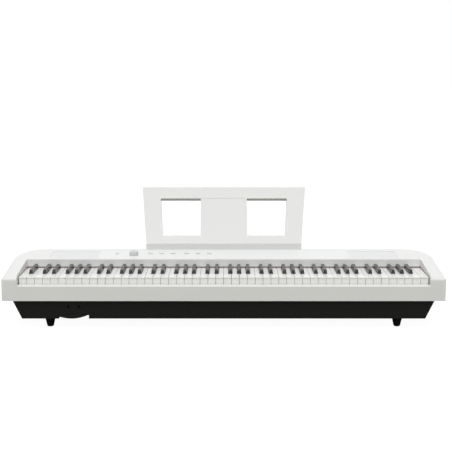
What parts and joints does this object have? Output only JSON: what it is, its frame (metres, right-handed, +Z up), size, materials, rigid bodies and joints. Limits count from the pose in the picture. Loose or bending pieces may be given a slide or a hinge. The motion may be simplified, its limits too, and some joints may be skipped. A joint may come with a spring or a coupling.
{
  "type": "digital piano",
  "caption": "Slim white digital piano with a full set of weighted keys, a black tapered underside, peg feet, a volume knob and a lift-off music rest with two windows.",
  "frame": {"origin": "on the floor, under the middle of the bounding box", "axes": "+X to the treble end, +Z up, the player sits at -Y"},
  "size_m": [1.319, 0.4012, 0.3798],
  "materials": {
    "case_white": "satin moulded white",
    "panel_white": "gloss white overlay",
    "grille_white": "fine perforated white",
    "chassis_black": "textured black",
    "key_white": "polished white",
    "key_black": "satin black",
    "felt_red": "felt",
    "frame_grey": "moulded",
    "steel": "bright zinc",
    "hammer_iron": "blackened",
    "magnet_iron": "plated",
    "board_green": "circuit board",
    "rubber_grey": "silicone",
    "rubber_black": "moulded",
    "socket_black": "moulded",
    "cone_paper": "paper cone",
    "brass": "turned",
    "light_lens": "clear green",
    "knob_white": "satin white"
  },
  "bodies": {
    "case": {"bottom_chassis": "chassis_black", "top_case": "case_white", "control_panel": "panel_white", "speaker_grilles": "grille_white", "key_felt_strip": "felt_red", "key_frame": "frame_grey", "key_pivot_rod": "steel", "hammer_axle": "steel", "sensor_board": "board_green", "sensor_rubber_strip": "rubber_grey", "action_felts": "felt_red", "main_board": "board_green", "panel_board": "board_green", "panel_switches": "socket_black", "volume_pot": "steel", "jack_board": "board_green", "dc_inlet": "socket_black", "rear_sockets": "socket_black", "headphone_housing": "chassis_black", "headphone_jacks": "socket_black", "speaker_frames": "socket_black", "speaker_cones": "cone_paper", "speaker_magnets": "magnet_iron", "rubber_feet": "rubber_black", "screws": "steel", "stand_inserts": "brass", "power_light": "light_lens"},
    "music_rest": {"music_rest": "case_white"},
    "volume_knob": {"volume_knob": "knob_white"},
    "power_button": {"power_button": "knob_white"},
    "button_1": {"button_1": "knob_white"},
    "button_2": {"button_2": "knob_white"},
    "button_3": {"button_3": "knob_white"},
    "button_4": {"button_4": "knob_white"},
    "button_5": {"button_5": "knob_white"},
    "button_6": {"button_6": "knob_white"},
    "keys_c": {"keys_c": "key_white"},
    "keys_c_sharp": {"keys_c_sharp": "key_black"},
    "keys_d": {"keys_d": "key_white"},
    "keys_d_sharp": {"keys_d_sharp": "key_black"},
    "keys_e": {"keys_e": "key_white"},
    "keys_f": {"keys_f": "key_white"},
    "keys_f_sharp": {"keys_f_sharp": "key_black"},
    "keys_g": {"keys_g": "key_white"},
    "keys_g_sharp": {"keys_g_sharp": "key_black"},
    "keys_a": {"keys_a": "key_white"},
    "keys_a_sharp": {"keys_a_sharp": "key_black"},
    "keys_b": {"keys_b": "key_white"},
    "hammers_c": {"hammers_c": "hammer_iron"},
    "hammers_c_sharp": {"hammers_c_sharp": "hammer_iron"},
    "hammers_d": {"hammers_d": "hammer_iron"},
    "hammers_d_sharp": {"hammers_d_sharp": "hammer_iron"},
    "hammers_e": {"hammers_e": "hammer_iron"},
    "hammers_f": {"hammers_f": "hammer_iron"},
    "hammers_f_sharp": {"hammers_f_sharp": "hammer_iron"},
    "hammers_g": {"hammers_g": "hammer_iron"},
    "hammers_g_sharp": {"hammers_g_sharp": "hammer_iron"},
    "hammers_a": {"hammers_a": "hammer_iron"},
    "hammers_a_sharp": {"hammers_a_sharp": "hammer_iron"},
    "hammers_b": {"hammers_b": "hammer_iron"}
  },
  "joints": [
    {"name": "music_rest_lift", "type": "slide", "parent": "case", "child": "music_rest", "axis": [0, 0, 1], "range_m": [0, 0.06]},
    {"name": "volume_turn", "type": "hinge", "parent": "case", "child": "volume_knob", "pos_m": [-0.2845, 0.0194, 0.18583], "axis": [0, -0.1113, 0.9938], "range_deg": [-140, 140]},
    {"name": "power_press", "type": "slide", "parent": "case", "child": "power_button", "axis": [0, 0.1113, -0.9938], "range_m": [0, 0.0012], "stiffness_N_per_m": 800, "springref_m": -0.001},
    {"name": "button_1_press", "type": "slide", "parent": "case", "child": "button_1", "axis": [0, 0.1113, -0.9938], "range_m": [0, 0.0012], "stiffness_N_per_m": 800, "springref_m": -0.001},
    {"name": "button_2_press", "type": "slide", "parent": "case", "child": "button_2", "axis": [0, 0.1113, -0.9938], "range_m": [0, 0.0012], "stiffness_N_per_m": 800, "springref_m": -0.001},
    {"name": "button_3_press", "type": "slide", "parent": "case", "child": "button_3", "axis": [0, 0.1113, -0.9938], "range_m": [0, 0.0012], "stiffness_N_per_m": 800, "springref_m": -0.001},
    {"name": "button_4_press", "type": "slide", "parent": "case", "child": "button_4", "axis": [0, 0.1113, -0.9938], "range_m": [0, 0.0012], "stiffness_N_per_m": 800, "springref_m": -0.001},
    {"name": "button_5_press", "type": "slide", "parent": "case", "child": "button_5", "axis": [0, 0.1113, -0.9938], "range_m": [0, 0.0012], "stiffness_N_per_m": 800, "springref_m": -0.001},
    {"name": "button_6_press", "type": "slide", "parent": "case", "child": "button_6", "axis": [0, 0.1113, -0.9938], "range_m": [0, 0.0012], "stiffness_N_per_m": 800, "springref_m": -0.001},
    {"name": "key_c_press", "type": "hinge", "parent": "case", "child": "keys_c", "pos_m": [0, 0.0264, 0.142], "axis": [1, 0, 0], "range_deg": [0, 2.8], "stiffness_Nm_per_rad": 2, "springref_deg": -5.73},
    {"name": "key_c_sharp_press", "type": "hinge", "parent": "case", "child": "keys_c_sharp", "pos_m": [0, 0.0264, 0.142], "axis": [1, 0, 0], "range_deg": [0, 2.8], "stiffness_Nm_per_rad": 2, "springref_deg": -5.73},
    {"name": "key_d_press", "type": "hinge", "parent": "case", "child": "keys_d", "pos_m": [0, 0.0264, 0.142], "axis": [1, 0, 0], "range_deg": [0, 2.8], "stiffness_Nm_per_rad": 2, "springref_deg": -5.73},
    {"name": "key_d_sharp_press", "type": "hinge", "parent": "case", "child": "keys_d_sharp", "pos_m": [0, 0.0264, 0.142], "axis": [1, 0, 0], "range_deg": [0, 2.8], "stiffness_Nm_per_rad": 2, "springref_deg": -5.73},
    {"name": "key_e_press", "type": "hinge", "parent": "case", "child": "keys_e", "pos_m": [0, 0.0264, 0.142], "axis": [1, 0, 0], "range_deg": [0, 2.8], "stiffness_Nm_per_rad": 2, "springref_deg": -5.73},
    {"name": "key_f_press", "type": "hinge", "parent": "case", "child": "keys_f", "pos_m": [0, 0.0264, 0.142], "axis": [1, 0, 0], "range_deg": [0, 2.8], "stiffness_Nm_per_rad": 2, "springref_deg": -5.73},
    {"name": "key_f_sharp_press", "type": "hinge", "parent": "case", "child": "keys_f_sharp", "pos_m": [0, 0.0264, 0.142], "axis": [1, 0, 0], "range_deg": [0, 2.8], "stiffness_Nm_per_rad": 2, "springref_deg": -5.73},
    {"name": "key_g_press", "type": "hinge", "parent": "case", "child": "keys_g", "pos_m": [0, 0.0264, 0.142], "axis": [1, 0, 0], "range_deg": [0, 2.8], "stiffness_Nm_per_rad": 2, "springref_deg": -5.73},
    {"name": "key_g_sharp_press", "type": "hinge", "parent": "case", "child": "keys_g_sharp", "pos_m": [0, 0.0264, 0.142], "axis": [1, 0, 0], "range_deg": [0, 2.8], "stiffness_Nm_per_rad": 2, "springref_deg": -5.73},
    {"name": "key_a_press", "type": "hinge", "parent": "case", "child": "keys_a", "pos_m": [0, 0.0264, 0.142], "axis": [1, 0, 0], "range_deg": [0, 2.8], "stiffness_Nm_per_rad": 2, "springref_deg": -5.73},
    {"name": "key_a_sharp_press", "type": "hinge", "parent": "case", "child": "keys_a_sharp", "pos_m": [0, 0.0264, 0.142], "axis": [1, 0, 0], "range_deg": [0, 2.8], "stiffness_Nm_per_rad": 2, "springref_deg": -5.73},
    {"name": "key_b_press", "type": "hinge", "parent": "case", "child": "keys_b", "pos_m": [0, 0.0264, 0.142], "axis": [1, 0, 0], "range_deg": [0, 2.8], "stiffness_Nm_per_rad": 2, "springref_deg": -5.73},
    {"name": "hammer_c_swing", "type": "hinge", "parent": "case", "child": "hammers_c", "pos_m": [0, -0.0786, 0.08], "axis": [1, 0, 0], "range_deg": [0, 14.3]},
    {"name": "hammer_c_sharp_swing", "type": "hinge", "parent": "case", "child": "hammers_c_sharp", "pos_m": [0, -0.0786, 0.08], "axis": [1, 0, 0], "range_deg": [0, 14.3]},
    {"name": "hammer_d_swing", "type": "hinge", "parent": "case", "child": "hammers_d", "pos_m": [0, -0.0786, 0.08], "axis": [1, 0, 0], "range_deg": [0, 14.3]},
    {"name": "hammer_d_sharp_swing", "type": "hinge", "parent": "case", "child": "hammers_d_sharp", "pos_m": [0, -0.0786, 0.08], "axis": [1, 0, 0], "range_deg": [0, 14.3]},
    {"name": "hammer_e_swing", "type": "hinge", "parent": "case", "child": "hammers_e", "pos_m": [0, -0.0786, 0.08], "axis": [1, 0, 0], "range_deg": [0, 14.3]},
    {"name": "hammer_f_swing", "type": "hinge", "parent": "case", "child": "hammers_f", "pos_m": [0, -0.0786, 0.08], "axis": [1, 0, 0], "range_deg": [0, 14.3]},
    {"name": "hammer_f_sharp_swing", "type": "hinge", "parent": "case", "child": "hammers_f_sharp", "pos_m": [0, -0.0786, 0.08], "axis": [1, 0, 0], "range_deg": [0, 14.3]},
    {"name": "hammer_g_swing", "type": "hinge", "parent": "case", "child": "hammers_g", "pos_m": [0, -0.0786, 0.08], "axis": [1, 0, 0], "range_deg": [0, 14.3]},
    {"name": "hammer_g_sharp_swing", "type": "hinge", "parent": "case", "child": "hammers_g_sharp", "pos_m": [0, -0.0786, 0.08], "axis": [1, 0, 0], "range_deg": [0, 14.3]},
    {"name": "hammer_a_swing", "type": "hinge", "parent": "case", "child": "hammers_a", "pos_m": [0, -0.0786, 0.08], "axis": [1, 0, 0], "range_deg": [0, 14.3]},
    {"name": "hammer_a_sharp_swing", "type": "hinge", "parent": "case", "child": "hammers_a_sharp", "pos_m": [0, -0.0786, 0.08], "axis": [1, 0, 0], "range_deg": [0, 14.3]},
    {"name": "hammer_b_swing", "type": "hinge", "parent": "case", "child": "hammers_b", "pos_m": [0, -0.0786, 0.08], "axis": [1, 0, 0], "range_deg": [0, 14.3]}
  ],
  "couplings": [
    {"joint": "hammer_c_swing", "follows": "key_c_press", "ratio": 5.1},
    {"joint": "hammer_c_sharp_swing", "follows": "key_c_sharp_press", "ratio": 5.1},
    {"joint": "hammer_d_swing", "follows": "key_d_press", "ratio": 5.1},
    {"joint": "hammer_d_sharp_swing", "follows": "key_d_sharp_press", "ratio": 5.1},
    {"joint": "hammer_e_swing", "follows": "key_e_press", "ratio": 5.1},
    {"joint": "hammer_f_swing", "follows": "key_f_press", "ratio": 5.1},
    {"joint": "hammer_f_sharp_swing", "follows": "key_f_sharp_press", "ratio": 5.1},
    {"joint": "hammer_g_swing", "follows": "key_g_press", "ratio": 5.1},
    {"joint": "hammer_g_sharp_swing", "follows": "key_g_sharp_press", "ratio": 5.1},
    {"joint": "hammer_a_swing", "follows": "key_a_press", "ratio": 5.1},
    {"joint": "hammer_a_sharp_swing", "follows": "key_a_sharp_press", "ratio": 5.1},
    {"joint": "hammer_b_swing", "follows": "key_b_press", "ratio": 5.1}
  ]
}
